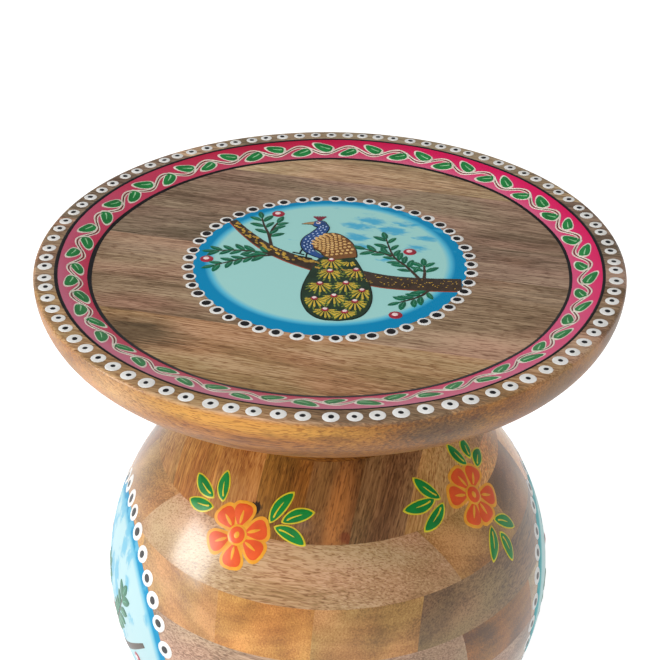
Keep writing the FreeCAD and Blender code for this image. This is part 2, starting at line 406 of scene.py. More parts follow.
def paint(name, marks, lay, material):
    """Joins marks made on the flat plan into one piece and lays it on a surface of the table."""
    deselect()
    for stroke in marks:
        stroke.select_set(True)
    bpy.context.view_layer.objects.active = marks[0]
    bpy.ops.object.join()
    piece = bpy.context.active_object
    piece.name = name
    piece.data.name = name
    for vertex in piece.data.vertices:
        vertex.co = lay(*vertex.co)
    bpy.ops.object.mode_set(mode="EDIT")
    bpy.ops.mesh.select_all(action="SELECT")
    bpy.ops.mesh.normals_make_consistent(inside=False)
    bpy.ops.object.mode_set(mode="OBJECT")
    bpy.ops.object.shade_smooth_by_angle(angle=math.radians(50))
    piece.data.materials.clear()
    piece.data.materials.append(material)
    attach(piece, "root")
    return piece


def on_rim(x, y, h):
    """The flat plan seen from above, laid on the rim."""
    return Vector((x, y, rim_z + h))


def ring_of_dots(model, count, ring, radius, eye_radius, draws, fuller=0.0):
    """White drops round a ring, each with a black eye on it, all a little uneven, and fuller in front."""
    whites = []
    eyes = []
    for number in range(count):
        even = 2 * math.pi * (number + draws.uniform(-0.09, 0.09)) / count
        angle = even + 0.8 * fuller * math.sin(even - FRONT_ANGLE)
        out = ring + draws.uniform(-0.4, 0.4) * MM
        x = out * math.cos(angle)
        y = out * math.sin(angle)
        size = radius * draws.uniform(0.94, 1.05) * (1 + fuller * math.cos(angle - FRONT_ANGLE))
        turn = draws.uniform(0, math.pi)
        whites.append(dab(model, x, y, size, DOT_HEIGHT, 0.0, draws.uniform(0.95, 1.04), turn))
        eye_x = x + draws.uniform(-0.35, 0.35) * MM
        eye_y = y + draws.uniform(-0.35, 0.35) * MM
        eye_size = eye_radius * draws.uniform(0.9, 1.1)
        eyes.append(dab(model, eye_x, eye_y, eye_size, DOT_HEIGHT * 0.45, DOT_HEIGHT * 0.85, 1.12, turn))
    return whites, eyes


drop = dab_model("paint_drop")
rim_whites, rim_eyes = ring_of_dots(drop, RIM_DOTS, RIM_DOT_RING, RIM_DOT_RADIUS, RIM_EYE_RADIUS, dot_draws,
                                    fuller=0.1)
paint("rim_dots", rim_whites, on_rim, WHITE_ENAMEL)
paint("rim_dot_eyes", rim_eyes, on_rim, BLACK_ENAMEL)

# Pink border. A film of pink enamel sprayed on the tray's sloping side, deep at the back and paler in front,
# where the paleness is a painted reflection of the white surround.
# It covers the whole slope, from the tray floor up to the rim.
RIM_INNER = 208 * MM
TRAY_RADIUS = 183.3 * MM
TRAY_DEPTH = 7 * MM
tray_z = rim_z - TRAY_DEPTH
RING_STEPS = 240
FILM = 0.5 * MM


def ring_film(name, profile, material, drawn=None):
    """A film turned about Z: a circle extruded from ring to ring along a profile of (radius, height).

    What a hand drew has a function that gives each point its own radius."""
    deselect()
    radius, height = profile[0]
    bpy.ops.mesh.primitive_circle_add(vertices=RING_STEPS, radius=radius, location=(0, 0, height))
    piece = bpy.context.active_object
    bpy.ops.object.transform_apply(location=True)
    piece.name = name
    piece.data.name = name
    bpy.ops.object.mode_set(mode="EDIT")
    bpy.ops.mesh.select_all(action="SELECT")
    for next_radius, next_height in profile[1:] + profile[:1]:
        bpy.ops.mesh.extrude_region_move()
        ratio = next_radius / radius
        bpy.ops.transform.resize(value=(ratio, ratio, 1), center_override=(0, 0, 0))
        bpy.ops.transform.translate(value=(0, 0, next_height - height))
        radius, height = next_radius, next_height
    bpy.ops.mesh.select_all(action="SELECT")
    bpy.ops.mesh.remove_doubles(threshold=0.01 * MM)
    bpy.ops.mesh.normals_make_consistent(inside=False)
    bpy.ops.object.mode_set(mode="OBJECT")
    if drawn:
        for vertex in piece.data.vertices:
            now = vertex.co.xy.length
            vertex.co.xy *= drawn(math.atan2(vertex.co.y, vertex.co.x), now) / now
    bpy.ops.object.shade_smooth_by_angle(angle=math.radians(50))
    piece.data.materials.append(material)
    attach(piece, "root")
    return piece


# Pink enamel, deep along the outer edge of the band at the back, while in front the outer edge turns pale: a
# painted reflection of the white surround. It goes from crimson on the left to a lighter hot pink on the
# right, partly the enamel's own colour and partly painted light where the slope faces the lamp on the left,
# with clouds some 45 mm wide.
DEEP_BACK_GLARE_FRONT = (math.cos(math.radians(68)), math.sin(math.radians(68)), 0)
LIT_HOT_PINK_SIDE = (math.cos(math.radians(20)), math.sin(math.radians(20)), 0)


def border_enamel():
    cloud_size = 45.45 * MM
    brush_width = 1.111 * MM
    material, surface = new_material("pink_enamel")
    place = add(material, "TexCoord").outputs["Object"]
    flat = add(material, "VectorMath", {"operation": "MULTIPLY"}, {0: place, 1: (1, 1, 0)}).outputs[0]
    out = add(material, "VectorMath", {"operation": "LENGTH"}, {0: flat}).outputs["Value"]
    clouds = add(material, "TexNoise", None, {
        "Vector": place, "Scale": 1 / cloud_size, "Detail": 3.0}).outputs["Fac"]
    across = add(material, "MapRange", None, {
        "Value": out, "From Min": TRAY_RADIUS, "From Max": RIM_INNER, "To Min": -0.25,
        "To Max": 0.65}).outputs["Result"]
    side = add(material, "VectorMath", {"operation": "NORMALIZE"}, {0: flat}).outputs[0]
    # The lean makes the band's outer edge deep at the back and pale in front; the pale front is a painted
    # reflection of the white surround.
    lean = add(material, "VectorMath", {"operation": "DOT_PRODUCT"}, {0: side, 1: DEEP_BACK_GLARE_FRONT}).outputs["Value"]
    tint = add(material, "Math", {"operation": "MULTIPLY"}, {0: across, 1: lean}).outputs[0]
    tint = add(material, "Math", {"operation": "MULTIPLY_ADD"}, {0: clouds, 1: 0.35, 2: tint}).outputs[0]
    tint = add(material, "Math", {"operation": "ADD"}, {0: tint, 1: 0.3}).outputs[0]
    # Two ramps of one pink: crimson where the slope turns from the lamp on the left and a lighter hot pink
    # where it faces that lamp, partly the enamel's own colours and partly painted light and shade.
    crimson = add(material, "ValToRGB", None, {"Fac": tint})
    set_ramp(crimson, [(0.08, "#c0607a"), (0.4, "#bd405d"), (0.7, "#b72042"), (0.95, "#ac0830")])
    magenta = add(material, "ValToRGB", None, {"Fac": tint})
    set_ramp(magenta, [(0.08, "#ca738c"), (0.4, "#ce4c77"), (0.7, "#d42362"), (0.95, "#cf0e56")])
    hot = add(material, "VectorMath", {"operation": "DOT_PRODUCT"}, {0: side, 1: LIT_HOT_PINK_SIDE}).outputs["Value"]
    hot = add(material, "MapRange", None, {"Value": hot, "From Min": -0.2, "From Max": 0.8}).outputs["Result"]
    colour = add(material, "MixRGB", None, {
        "Fac": hot, "Color1": crimson.outputs["Color"], "Color2": magenta.outputs["Color"]}).outputs["Color"]
    bump = brush_relief(material, place, brush_width)
    shader = add(material, "BsdfPrincipled", None, {
        "Base Color": colour, "Roughness": 0.32, "Normal": bump, "IOR": 1.5, "Specular IOR Level": 0.5})
    material.node_tree.links.new(shader.outputs["BSDF"], surface)
    return material


BAND_FILM = 0.15 * MM
ring_film("pink_border", [
    (TRAY_RADIUS, tray_z + BAND_FILM),
    (RIM_INNER, rim_z + BAND_FILM),
    (RIM_INNER, rim_z - FILM),
    (TRAY_RADIUS, tray_z - FILM),
], border_enamel())

# Border lines. Two black lines drawn with a brush where the slope meets the rim and the tray floor.
# They wander a little, as a hand does.
LINE_HALF = 1.15 * MM
LINE_FILM = 0.3 * MM
SLOPE_RISE = TRAY_DEPTH / (RIM_INNER - TRAY_RADIUS)


def hand_line(seed, ring, sides, front):
    """A hand-drawn ring: it drifts in and out, and its weight changes towards the left side and the front."""
    draws = random.Random(seed)
    waves = [(turns, draws.uniform(0.08, 0.24) * MM, draws.uniform(0, 6.28)) for turns in (2, 3, 5, 9, 14)]

    def radius_at(angle, radius):
        drift = sum(size * math.sin(turns * angle + start) for turns, size, start in waves)
        side = max(math.cos(angle - FRONT_ANGLE + math.pi / 2), 0)
        near = max(math.cos(angle - FRONT_ANGLE), 0)
        return ring + (radius - ring) * (1 + sides * side ** 4 + front * near ** 2) + drift

    return radius_at


ring_film("outer_border_line", [
    (RIM_INNER - LINE_HALF, rim_z - LINE_HALF * SLOPE_RISE + LINE_FILM),
    (RIM_INNER, rim_z + LINE_FILM * 1.2),
    (RIM_INNER + LINE_HALF, rim_z + 0.1 * MM),
    (RIM_INNER + LINE_HALF, rim_z - FILM),
    (RIM_INNER - LINE_HALF, rim_z - FILM - LINE_HALF * SLOPE_RISE),
], BLACK_ENAMEL, hand_line(3, RIM_INNER, 0.2, -0.35))
ring_film("inner_border_line", [
    (TRAY_RADIUS - LINE_HALF, tray_z + 0.1 * MM),
    (TRAY_RADIUS, tray_z + LINE_FILM * 1.2),
    (TRAY_RADIUS + LINE_HALF, tray_z + LINE_HALF * SLOPE_RISE + LINE_FILM),
    (TRAY_RADIUS + LINE_HALF, tray_z - FILM),
    (TRAY_RADIUS - LINE_HALF, tray_z - FILM),
], BLACK_ENAMEL, hand_line(4, TRAY_RADIUS, 0.5, 0.15))

# Vine. A wavy stem piped in relief round the pink border, two cream lines with a dark one between them, and
# a leaf in every bend: cream outline, green face, light brush stroke for the vein.
VINE_WAVES = 29
VINE_SWING = 4.7 * MM
VINE_MIDDLE = -1.2 * MM
LEAF_LENGTH = 17 * MM
LEAF_WIDTH = 8.8 * MM
LEAF_OUTLINE = 1.3 * MM
slope_middle = (RIM_INNER + TRAY_RADIUS) / 2
slope_tilt = math.atan(SLOPE_RISE)
vine_draws = random.Random(21)
CREAM_ENAMEL = enamel("cream_relief_enamel", "#dad2c4", "#c2b8a8")
STEM_SHADE = enamel("olive_enamel", "#4d4a30", "#3a3a26", 0.4)
LEAF_GREEN = enamel("leaf_green_enamel", "#21803f", "#186730")
VEIN_GREEN = enamel("light_green_enamel", "#9cc89c", "#6fae76")


def on_slope(along, out, h):
    """The flat plan rolled round the slope: along runs clockwise round its middle line, out runs up it."""
    angle = -along / slope_middle
    radius = slope_middle + out * math.cos(slope_tilt) - h * math.sin(slope_tilt)
    z = (rim_z + tray_z) / 2 + out * math.sin(slope_tilt) + h * math.cos(slope_tilt)
    return Vector((radius * math.cos(angle), radius * math.sin(angle), z))


def along_spine(spine, share):
    """A point a share of the way along a smooth curve through the spine's points, and the way it runs."""
    last = len(spine) - 1
    span = min(int(share * last), last - 1)
    t = share * last - span
    near = [Vector(spine[min(max(span + step, 0), last)]) for step in (-1, 0, 1, 2)]
    a = near[1] * 2
    b = near[2] - near[0]
    c = near[0] * 2 - near[1] * 5 + near[2] * 4 - near[3]
    d = near[1] * 3 - near[0] - near[2] * 3 + near[3]
    point = (a + b * t + c * t * t + d * t ** 3) / 2
    run = (b + c * 2 * t + d * 3 * t * t) / 2
    return point, run.normalized()


def leaf_swell(share):
    """Round at the stalk, fullest before the middle and drawn out to a point."""
    return share ** 0.45 * (1 - share) ** 0.75 / 0.452


def lens_swell(share):
    """Pointed at both ends and full in the middle."""
    return math.sin(math.pi * min(max(share, 0), 1)) ** 0.87


def vein_swell(share):
    """A stroke that starts full and runs out fine."""
    return even_swell(share) * (1 - 0.7 * share)


def even_swell(share):
    """The same width all along, with rounded ends."""
    return math.sqrt(max(1 - (2 * share - 1) ** 10, 0))


def mark(spine, width, swell=even_swell, lift=0.1 * MM, dome=0.3 * MM, steps=14, lanes=4):
    """One brush mark on the flat plan: a grid bent along a spine, as wide as its swell, with a round back."""
    deselect()
    bpy.ops.mesh.primitive_grid_add(x_subdivisions=steps, y_subdivisions=lanes, size=2)
    made = bpy.context.active_object
    for vertex in made.data.vertices:
        share = (vertex.co.x + 1) / 2
        side = vertex.co.y
        point, run = along_spine(spine, share)
        half = max(width * swell(share), 0.02 * MM) / 2
        across = Vector((-run.y, run.x)) * side * half
        rise = lift + dome * (1 - side * side) * min(swell(share) * 1.5, 1)
        vertex.co = (point.x + across.x, point.y + across.y, rise)
    thicken(made, lift + FILM)
    return made


def thicken(piece, depth):
    """Gives an open film its thickness, downwards."""
    solid = piece.modifiers.new("film", "SOLIDIFY")
    solid.thickness = depth
    solid.offset = -1
    bpy.context.view_layer.objects.active = piece
    bpy.ops.object.modifier_apply(modifier=solid.name)


def leaf_marks(root, angle, length, width, outline, swell=leaf_swell):
    """The three marks of an outlined leaf that grows from root at an angle: outline, face and vein."""
    way = Vector((math.cos(angle), math.sin(angle)))
    bow = Vector((-way.y, way.x)) * length * 0.06
    root = Vector(root)
    tip = root + way * length
    middle = (root + tip) / 2 + bow
    edge = mark([root - way * outline * 1.4, middle, tip + way * outline * 1.6], width + outline * 2, swell,
                dome=0.35 * MM)
    face = mark([root, middle, tip], width, swell, lift=0.32 * MM, dome=0.22 * MM)
    vein_end = root + way * length * 0.66 + bow * 0.8
    vein = mark([root + way * length * 0.12, (root + vein_end) / 2 + bow * 0.3, vein_end], width * 0.17,
                vein_swell, lift=0.55 * MM, dome=0.08 * MM, steps=8, lanes=2)
    return edge, face, vein


def vine_line(offset, width, lift, dome):
    """One wavy line all the way round the slope, offset from the vine's middle."""
    per_wave = 18
    turn = 2 * math.pi * slope_middle
    count = VINE_WAVES * per_wave
    spine = []
    for number in range(count + 1):
        swing = VINE_MIDDLE + offset + VINE_SWING * math.cos(2 * math.pi * number / per_wave)
        spine.append((turn * number / count, swing))
    return mark(spine, width, lambda share: 1.0, lift, dome, steps=count, lanes=3)


def vine_leaves():
    """A leaf in each bend, above and below the stem by turns."""
    layers = ([], [], [])
    pitch = 2 * math.pi * slope_middle / VINE_WAVES
    for number in range(VINE_WAVES):
        for side, place in ((-1, 0.0), (1, 0.5)):
            size = vine_draws.uniform(0.9, 1.08)
            angle = math.pi - side * (math.radians(24) + vine_draws.uniform(-0.12, 0.12))
            middle = Vector((pitch * (number + place + vine_draws.uniform(-0.03, 0.03)),
                             VINE_MIDDLE + side * vine_draws.uniform(2.6, 3.6) * MM + 1.0 * MM))
            root = middle - Vector((math.cos(angle), math.sin(angle))) * LEAF_LENGTH * size / 2
            marks = leaf_marks(root, angle, LEAF_LENGTH * size, LEAF_WIDTH * size, LEAF_OUTLINE)
            for layer, made in zip(layers, marks):
                layer.append(made)
    return layers


paint("vine_stem", [vine_line(1.2 * MM, 1.35 * MM, 0.1 * MM, 0.45 * MM),
                    vine_line(-1.5 * MM, 1.1 * MM, 0.1 * MM, 0.35 * MM)], on_slope, CREAM_ENAMEL)
paint("vine_stem_shade", [vine_line(-0.2 * MM, 1.0 * MM, 0.12 * MM, 0.15 * MM)], on_slope, STEM_SHADE)
leaf_edges, leaf_faces, leaf_veins = vine_leaves()
paint("vine_leaf_outlines", leaf_edges, on_slope, CREAM_ENAMEL)
paint("vine_leaves", leaf_faces, on_slope, LEAF_GREEN)
paint("vine_leaf_veins", leaf_veins, on_slope, VEIN_GREEN)

# Medallion ground. A disc of sky enamel sprayed on the middle of the tray floor, strong blue at its edge and
# pale inside, with blue cloud dabs towards the upper right, ringed by white dots with black eyes.
MEDALLION_RADIUS = 105 * MM
MEDALLION_DOTS = 49
MEDALLION_DOT_RING = 108.5 * MM
MEDALLION_DOT_RADIUS = 5.4 * MM
MEDALLION_EYE_RADIUS = 3.1 * MM
SKY_FILM = 0.12 * MM


# Sky enamel: airbrushed from a pale middle to a strong blue edge, with clouds dabbed on in short brush
# strokes that gather round one point and thin out away from it.
def sky_enamel(name, colours, fades, centre, radius, cloud_centre, cloud_reach, brush):
    dab_pitch = 20 * MM
    stroke_size = 6 * MM
    pale, fade, rim, cloud = colours
    material, surface = new_material(name)
    place = add(material, "TexCoord").outputs["Object"]
    out = add(material, "VectorMath", {"operation": "DISTANCE"}, {0: place, 1: centre}).outputs["Value"]
    share = add(material, "MapRange", None, {"Value": out, "From Max": radius}).outputs["Result"]
    ground = add(material, "ValToRGB", None, {"Fac": share})
    set_ramp(ground, list(zip(fades, (pale, fade, rim))))
    from_cloud = add(material, "VectorMath", {"operation": "DISTANCE"}, {
        0: place, 1: cloud_centre}).outputs["Value"]
    gather = add(material, "MapRange", None, {
        "Value": from_cloud, "From Max": cloud_reach, "To Min": 0.26, "To Max": -0.42}).outputs["Result"]
    brushed = add(material, "VectorMath", {"operation": "MULTIPLY"}, {0: place, 1: brush}).outputs[0]
    dabs = add(material, "TexVoronoi", None, {
        "Vector": brushed, "Scale": 1 / dab_pitch, "Randomness": 0.9}).outputs["Distance"]
    gather = add(material, "Math", {"operation": "SUBTRACT"}, {0: gather, 1: dabs}).outputs[0]
    strokes = add(material, "TexNoise", None, {
        "Vector": brushed, "Scale": 1 / stroke_size, "Detail": 2.0, "Distortion": 0.6}).outputs["Fac"]
    gather = add(material, "Math", {"operation": "MULTIPLY_ADD"}, {0: strokes, 1: 0.7, 2: gather}).outputs[0]
    cover = add(material, "MapRange", {"interpolation_type": "SMOOTHSTEP"}, {
        "Value": gather, "From Min": -0.1, "From Max": 0.2, "To Max": 0.85}).outputs["Result"]
    colour = add(material, "MixRGB", None, {
        "Fac": cover, "Color1": ground.outputs["Color"], "Color2": linear(cloud)}).outputs["Color"]
    shader = add(material, "BsdfPrincipled", None, {
        "Base Color": colour, "Roughness": 0.4, "IOR": 1.5, "Specular IOR Level": 0.1})
    material.node_tree.links.new(shader.outputs["BSDF"], surface)
    return material


def disc(radius, rings, lift):
    """A round film on the flat plan: a circle extruded inwards ring by ring and closed in the middle."""
    deselect()
    bpy.ops.mesh.primitive_circle_add(vertices=96, radius=radius, location=(0, 0, lift))
    made = bpy.context.active_object
    bpy.ops.object.transform_apply(location=True)
    bpy.ops.object.mode_set(mode="EDIT")
    bpy.ops.mesh.select_all(action="SELECT")
    for left in range(rings - 1, 0, -1):
        bpy.ops.mesh.extrude_region_move()
        ratio = left / (left + 1)
        bpy.ops.transform.resize(value=(ratio, ratio, 1), center_override=(0, 0, lift))
    bpy.ops.mesh.edge_face_add()
    bpy.ops.mesh.select_all(action="SELECT")
    bpy.ops.mesh.normals_make_consistent(inside=False)
    bpy.ops.object.mode_set(mode="OBJECT")
    if made.data.polygons[0].normal.z < 0:
        made.data.flip_normals()
    thicken(made, lift + FILM)
    return made


def on_medallion(x, y, h):
    """The picture's plan laid on the tray floor, turned to face whoever looks from the camera's side."""
    across = x * math.cos(PICTURE_TURN) - y * math.sin(PICTURE_TURN)
    deep = x * math.sin(PICTURE_TURN) + y * math.cos(PICTURE_TURN)
    return Vector((across, deep, tray_z + h))


TRAY_SKY = ("#9acdc8", "#54b4d0", "#0083b2", "#2f9fc8")
sky = sky_enamel("tray_sky_enamel", TRAY_SKY, (0.845, 0.885, 0.92), on_medallion(0, 4 * MM, 0),
                 MEDALLION_RADIUS, on_medallion(42 * MM, 62 * MM, 0), 96 * MM, (0.7, 1.5, 1))
paint("medallion_sky", [disc(MEDALLION_RADIUS, 4, SKY_FILM)], on_medallion, sky)
ring_whites, ring_eyes = ring_of_dots(drop, MEDALLION_DOTS, MEDALLION_DOT_RING, MEDALLION_DOT_RADIUS,
                                      MEDALLION_EYE_RADIUS, dot_draws)
paint("medallion_dots", ring_whites, on_medallion, WHITE_ENAMEL)
paint("medallion_dot_eyes", ring_eyes, on_medallion, BLACK_ENAMEL)

# Branch. A thick brown bough across the medallion, heavier to the right, with gold bark flecks and a
# red-brown shadow line along its lower side. Leafy twigs spring from it and red berries lie among them.
BRANCH_WIDTH = 18.5 * MM
TWIG_WIDTH = 2.8 * MM
TWIG_LEAF = (11.8 * MM, 4.8 * MM)
BERRY_RADIUS = 5.2 * MM
BARK_ENAMEL = enamel("bark_enamel", "#45352a", "#33271d", 0.4)
BARK_EDGE = enamel("red_brown_enamel", "#9c4a30", "#84402b", 0.4)
GOLD_ENAMEL = enamel("gold_fleck_enamel", "#c09838", "#97742c", 0.4)
BERRY_RED = enamel("berry_red_enamel", "#a92b3d", "#8c2234")
BLUSH_ENAMEL = enamel("blush_white_enamel", "#ecdcd8", "#dfb9ba")
TWIG_GREEN = enamel("twig_leaf_green_enamel", "#106a49", "#0d563e")
TWIG_VEIN = enamel("twig_vein_enamel", "#4a9474", "#377f61")
branch_draws = random.Random(33)


def mm(*points):
    """Plan points given in millimetres, in metres."""
    return [(x * MM, y * MM) for x, y in points]


branch_spine = mm((-78, 69), (-66, 48), (-50, 26), (-31, 9), (-8, -5), (16, -17), (42, -27), (70, -31),
                  (99, -32))


def branch_swell(share):
    """Thin at the tip, and three times as thick from beside the bird to where it leaves the picture."""
    return 0.34 + 0.66 * min(share / 0.65, 1) ** 1.2


def along_branch(share, side):
    """A place on the branch, a share of the way along it and between its two edges."""
    point, run = along_spine(branch_spine, share)
    return point + Vector((-run.y, run.x)) * side * BRANCH_WIDTH * branch_swell(share) / 2, run


def bark_flecks(model):
    """Gold flecks: broad blotches on the thin end, fine dashes scattered on the thick one."""
    flecks = []
    for count, first, last, sizes, stretches, turn in (
            (60, 0.03, 0.6, (0.8, 1.35), (1.3, 2.4), 0.7), (85, 0.55, 0.98, (0.28, 0.5), (1.2, 2.6), 1.6)):
        for number in range(count):
            share = first + (last - first) * (number + branch_draws.uniform(0.1, 0.9)) / count
            point, run = along_branch(share, branch_draws.uniform(-0.66, 0.72))
            size = branch_draws.uniform(*sizes) * MM
            lean = math.atan2(run.y, run.x) + branch_draws.uniform(-turn, turn)
            stretch = branch_draws.uniform(*stretches)
            flecks.append(dab(model, point.x, point.y, size, 0.2 * MM, 0.5 * MM, stretch, lean))
    return flecks


def spray(stem, sides, count, first, leaf_size, draws, lean=0.75):
    """A twig on the flat plan with its leaves, up one or both sides and one at the tip, and their veins."""
    twig = mark(stem, TWIG_WIDTH, lambda share: 1.0 - 0.6 * share, 0.3 * MM, 0.2 * MM, steps=16, lanes=2)
    leaves = []
    veins = []
    length, width = leaf_size
    places = [(first + (1 - first) * number / count, side) for number in range(count) for side in sides]
    for share, side in places + [(1.0, 0)]:
        point, run = along_spine(stem, min(share + 0.04 * max(side, 0), 1.0))
        angle = math.atan2(run.y, run.x) + side * (lean + draws.uniform(-0.12, 0.12))
        way = Vector((math.cos(angle), math.sin(angle)))
        size = draws.uniform(0.88, 1.1)
        start = point + way * (1.2 * MM if side else -1 * MM)
        tip = start + way * length * size
        middle = (start + tip) / 2 - Vector((-way.y, way.x)) * length * 0.05 * side
        leaves.append(mark([start, middle, tip], width * size, lens_swell, 0.35 * MM, 0.25 * MM, steps=10))
        veins.append(mark([start + way * length * 0.15, middle, start + way * length * 0.75], width * 0.11,
                          lift=0.6 * MM, dome=0.06 * MM, steps=6, lanes=2))
    return twig, leaves, veins


def berries(model, places):
    """Red berries with a pale light on each."""
    fruit = [dab(model, x, y, BERRY_RADIUS, 0.5 * MM, 0.2 * MM) for x, y in places]
    lights = [dab(model, x - 0.4 * MM, y + 0.3 * MM, BERRY_RADIUS * 0.44, 0.25 * MM, 0.65 * MM)
              for x, y in places]
    return fruit, lights


twigs = []
twig_leaves = []
twig_veins = []
BOTH_SIDES = (1, -1)
RIGHT_SIDE = (-1,)
for stem, sides, count, first, lean in (
        (mm((-46, 28), (-49, 47), (-53, 62), (-55, 74)), BOTH_SIDES, 3, 0.3, 0.75),
        (mm((-48, 42), (-46, 54), (-44, 61), (-42, 66)), RIGHT_SIDE, 3, 0.0, 0.85),
        (mm((-42, 13), (-58, 18), (-74, 20), (-90, 19)), BOTH_SIDES, 5, 0.15, 0.68),
        (mm((-42, 13), (-58, 10), (-73, 4), (-89, -4)), BOTH_SIDES, 5, 0.15, 0.68),
        (mm((68, -24), (59, -5), (49, 12), (44, 40)), BOTH_SIDES, 7, 0.18, 0.8),
        (mm((48, 12), (42, 16), (35, 19), (27, 23)), BOTH_SIDES, 2, 0.2, 0.62),
        (mm((71, -24), (72, -14), (72, -6), (72, -2)), BOTH_SIDES, 2, 0.35, 0.9),
        (mm((75, -38), (69, -47), (61, -53), (51, -58)), BOTH_SIDES, 4, 0.12, 0.85)):
    twig, leaves, veins = spray(stem, sides, count, first, TWIG_LEAF, branch_draws, lean)
    twigs.append(twig)
    twig_leaves.extend(leaves)
    twig_veins.extend(veins)
shadow_spine = [(x - 0.5 * MM, y - 1.2 * MM) for x, y in branch_spine]
paint("branch_shadow_line", [mark(shadow_spine, BRANCH_WIDTH, branch_swell, 0.14 * MM, 0.1 * MM, steps=48)],
      on_medallion, BARK_EDGE)
paint("branch", [mark(branch_spine, BRANCH_WIDTH, branch_swell, 0.25 * MM, 0.25 * MM, steps=48)],
      on_medallion, BARK_ENAMEL)
paint("branch_flecks", bark_flecks(drop), on_medallion, GOLD_ENAMEL)
paint("twigs", twigs, on_medallion, BARK_ENAMEL)
paint("twig_leaves", twig_leaves, on_medallion, TWIG_GREEN)
paint("twig_leaf_veins", twig_veins, on_medallion, TWIG_VEIN)
fruit, fruit_lights = berries(drop, mm((-42, 81), (-95, 6), (62, 19), (48, -76)))
paint("berries", fruit, on_medallion, BERRY_RED)
paint("berry_lights", fruit_lights, on_medallion, BLUSH_ENAMEL)

# Peacock. A folk peacock perched on the branch with its tail folded down in front of it: dark outlines, a
# blue neck with pale dashes, a golden scaled wing, and a green train of yellow fans with red and white eyes.
INK_ENAMEL = enamel("ink_enamel", "#1b241f", "#141b18", 0.4)
TRAIN_GREEN = enamel("train_green_enamel", "#243d2a", "#1c3022", 0.4)
FAN_YELLOW = enamel("fan_yellow_enamel", "#d2b03c", "#b8a038")
FAN_OLIVE = enamel("fan_olive_enamel", "#7f8a34", "#66742e", 0.4)
WING_TAN = enamel("wing_tan_enamel", "#84552c", "#6c4524", 0.4)
SCALE_GOLD = enamel("scale_gold_enamel", "#d9b171", "#c29354")
NECK_BLUE = enamel("neck_blue_enamel", "#2b5290", "#21406f")
NECK_PALE = enamel("neck_pale_enamel", "#b9cbe8", "#9db6dc")
CREST_CRIMSON = enamel("crest_crimson_enamel", "#8a3040", "#6f2634")
BEAK_TAN = enamel("beak_tan_enamel", "#b08c62", "#94724c", 0.4)
OUTLINE = 0.9 * MM
HEAD_PLACE = (-8.5 * MM, 64 * MM)
TRAIN_WIDTH = 52 * MM
WING_WIDTH = 30 * MM
peacock_draws = random.Random(8)
train_spine = mm((5.5, 13), (5, -20), (5, -52), (6.5, -84))
wing_spine = mm((-9, 43), (-3, 36), (5, 24), (9.5, 7))
neck_spine = mm((-7, 63), (-5.5, 57), (-10, 47), (-16, 38), (-18, 28), (-15, 18), (-6, 9))


def train_swell(share):
    """Narrow where it leaves the body, full below the middle and round at the end."""
    if share < 0.64:
        return 0.4 + 0.6 * math.sin(math.pi / 2 * share / 0.64)
    return math.sqrt(max(1 - ((share - 0.64) / 0.36) ** 2, 0))


def wing_swell(share):
    """Round at the shoulder, fullest before the middle and cut off broad at the tail."""
    if share < 0.4:
        return math.sqrt(max(1 - ((0.4 - share) / 0.4) ** 2, 0))
    return 1 - 0.28 * ((share - 0.4) / 0.6) ** 2


def neck_swell(share):
    """A slim throat that fills to the breast and runs out along the belly."""
    return 0.72 + 0.4 * math.sin(math.pi * share) - 0.35 * share ** 3


def with_outline(spine, width, swell, lift, dome, steps=28, lanes=8):
    """An ink shape and, on it, the same shape a little smaller."""
    first = Vector(spine[0])
    last = Vector(spine[-1])
    start = first + (first - Vector(spine[1])).normalized() * OUTLINE
    end = last + (last - Vector(spine[-2])).normalized() * OUTLINE
    ink = mark([start] + spine[1:-1] + [end], width + 2 * OUTLINE, swell, lift, dome * 0.6, steps, lanes)
    face = mark(spine, width, swell, lift + 0.18 * MM, dome * 0.6, steps, lanes)
    return ink, face


def on_train(point):
    """Whether a point of the plan lies on the train, clear of its outline."""
    clear = 1.6 * MM
    top = train_spine[0][1]
    end = train_spine[-1][1]
    share = (top - point.y) / (top - end)
    half = TRAIN_WIDTH * train_swell(min(max(share, 0), 1)) / 2
    return 0 < share < 1 and abs(point.x - train_spine[1][0]) < half - clear


def ray_swell(share):
    """A stroke that starts fine and ends full and round."""
    return share ** 0.6 * even_swell(share)


def fan_strokes(x, y, count, spread, start, reach, width, lift):
    """Strokes that fan down from a point of the train, shortened where they would cross its outline."""
    strokes = []
    eye = Vector((x, y))
    for number in range(count):
        lean = math.radians(spread) * (number / (count - 1) - 0.5) + peacock_draws.uniform(-0.05, 0.05)
        way = Vector((math.sin(lean), -math.cos(lean)))
        length = reach * (0.45 + 0.55 * math.cos(lean)) * peacock_draws.uniform(0.93, 1.06)
        while length > start and not on_train(eye + way * length):
            length -= 0.5 * MM
        if length > start + 1.5 * MM:
            root = eye + way * start
            tip = eye + way * length
            strokes.append(mark([root, (root + tip) / 2, tip], width, ray_swell, lift, 0.12 * MM, steps=7,
                                lanes=2))
    return strokes


fan_places = mm((1, 5), (0, -12), (20, -10), (-7.5, -31), (12, -30), (24, -41), (-11.5, -53), (3, -49),
                (18.5, -57), (-3.5, -69), (11, -72))
fan_rays = fan_strokes(15 * MM, 3 * MM, 6, 110, 2 * MM, 9 * MM, 1.9 * MM, 0.72 * MM)
fan_gaps = []
fan_reds = []
fan_whites = []
for x, y in fan_places:
    fan_rays.extend(fan_strokes(x, y, 9, 160, 2.6 * MM, 13.5 * MM, 1.9 * MM, 0.72 * MM))
    fan_gaps.extend(fan_strokes(x, y, 13, 200, 5 * MM, 17.5 * MM, 1.5 * MM, 0.62 * MM))
    fan_reds.append(dab(drop, x, y - 0.5 * MM, 2.6 * MM, 0.2 * MM, 0.78 * MM))
    fan_whites.append(dab(drop, x, y + 0.5 * MM, 1.7 * MM, 0.2 * MM, 0.92 * MM))


